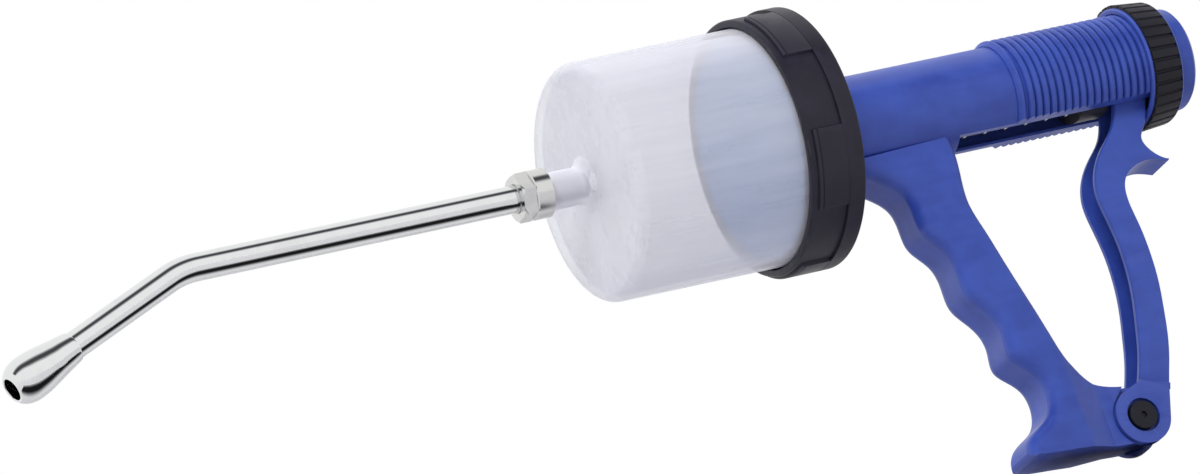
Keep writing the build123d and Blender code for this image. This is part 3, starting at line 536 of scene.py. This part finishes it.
def makeFlags():
    # near and far are (y, z) edges, line is the y of the darkest line and spread its half width
    floorZ = cadBox[0].z + 2 * mm
    flags = {"topFlag": {"across": (-1.8, 0.9), "near": (-0.80, 0.60), "far": (-0.24, 0.97), "line": -0.52,
                         "spread": 0.32, "tone": 0.07},
             "lowFlag": {"across": (-0.55, -0.195), "near": (-0.125, floorZ), "far": (0.10, floorZ),
                         "line": -0.054, "spread": 0.10, "tone": 0.012}}
    glowLook = {"colour": (0.82, 0.82, 0.84), "bandWobbleSize": 160.0, "bandWobble": 0.04, "blueness": 1.1}
    for name, flag in flags.items():
        # each flag is a glowing sheet seen only in reflections: a painted reflection, darkest along its line
        # and pale away from it
        glowSheet = Finish(name + "Cloth", {"Base Color": (0, 0, 0), "Specular IOR Level": 0,
                                        "Emission Strength": 1})
        depth = glowSheet.add("ShaderNodeSeparateXYZ", {}, {"Vector": glowSheet.place}, "Y")
        away = glowSheet.add("ShaderNodeMath", {"operation": "ABSOLUTE"}, {0: depth - flag["line"]})
        bandWobble = glowSheet.noise(glowLook["bandWobbleSize"], 2) * (glowLook["bandWobble"] * flag["spread"])
        dark = (flag["tone"], flag["tone"], flag["tone"] * glowLook["blueness"])
        shade = glowSheet.band(away + bandWobble, flag["spread"] * 0.25, flag["spread"])
        glowSheet.drive(Emission_Color=glowSheet.blend(shade, dark, glowLook["colour"]))
        left, right = flag["across"]
        corners = [(left, *flag["near"]), (right, *flag["near"]), (right, *flag["far"]), (left, *flag["far"])]
        makeSheet(name, corners, glowSheet.material, flag=True)


def makeWorld():
    light = {"paper": (1, 1, 1), "fill": (0.60, 0.60, 0.64), "fillStrength": 0.36}
    world = bpy.data.worlds.new("studio")
    world.use_nodes = True
    bpy.context.scene.world = world
    sky = NodeSet(world.node_tree)
    sky.tree.nodes.remove(sky.tree.nodes["Background"])
    direct, glossy, through = (sky.add("ShaderNodeLightPath", output=ray)
                               for ray in ("Is Camera Ray", "Is Glossy Ray", "Is Transmission Ray"))
    seen = sky.add("ShaderNodeMath", {"operation": "ADD", "use_clamp": True},
                   {0: direct + through, 1: glossy})
    paper = sky.add("ShaderNodeBackground", {}, {"Color": light["paper"]})
    fill = sky.add("ShaderNodeBackground", {}, {"Color": light["fill"], "Strength": light["fillStrength"]})
    mixed = sky.add("ShaderNodeMixShader", {}, {0: seen, 1: fill, 2: paper})
    sky.feed(sky.tree.nodes["World Output"].inputs["Surface"], mixed)


def makeLamp(name, place, size, power, target):
    data = bpy.data.lights.new(name, "AREA")
    data.shape, data.size, data.size_y = "RECTANGLE", *size
    data.energy = power
    lamp = bpy.data.objects.new(name, data)
    lamp.location = place
    lamp.rotation_mode = "QUATERNION"
    lamp.rotation_quaternion = (Vector(target) - Vector(place)).to_track_quat("-Z", "Y")
    lamp.visible_glossy = False  # metal shows the paper and the flags instead
    bpy.context.scene.collection.objects.link(lamp)


def makeCamera():
    view = {"place": (-1145.98, -1905.61, -604.28), "turn": (106.3714, 18.7772, -20.1006), "lens": 191.867,
            "sensor": 36, "nearest": 0.1, "farthest": 50}
    data = bpy.data.cameras.new("camera")
    data.lens, data.sensor_width = view["lens"], view["sensor"]
    data.clip_start, data.clip_end = view["nearest"], view["farthest"]
    camera = bpy.data.objects.new("camera", data)
    camera.location = Vector(view["place"]) * mm
    camera.rotation_euler = Euler([math.radians(angle) for angle in view["turn"]], "XYZ")
    bpy.context.scene.collection.objects.link(camera)
    bpy.context.scene.camera = camera


makeFloor()
makeFlags()
makeWorld()
lamps = {"keyLamp": {"place": (-0.75, -1.30, 1.10), "size": (1.1, 0.8), "power": 25},
         "topLamp": {"place": (0.10, 0.25, 1.40), "size": (1.3, 1.0), "power": 10},
         "sideLamp": {"place": (-1.30, 0.30, 0.35), "size": (0.7, 0.9), "power": 5}}
for lampName, lamp in lamps.items():
    makeLamp(lampName, target=(cadBox[0] + cadBox[1]) / 2, **lamp)
makeCamera()
bpy.context.scene.view_settings.view_transform = "Standard"
print("stage ready")
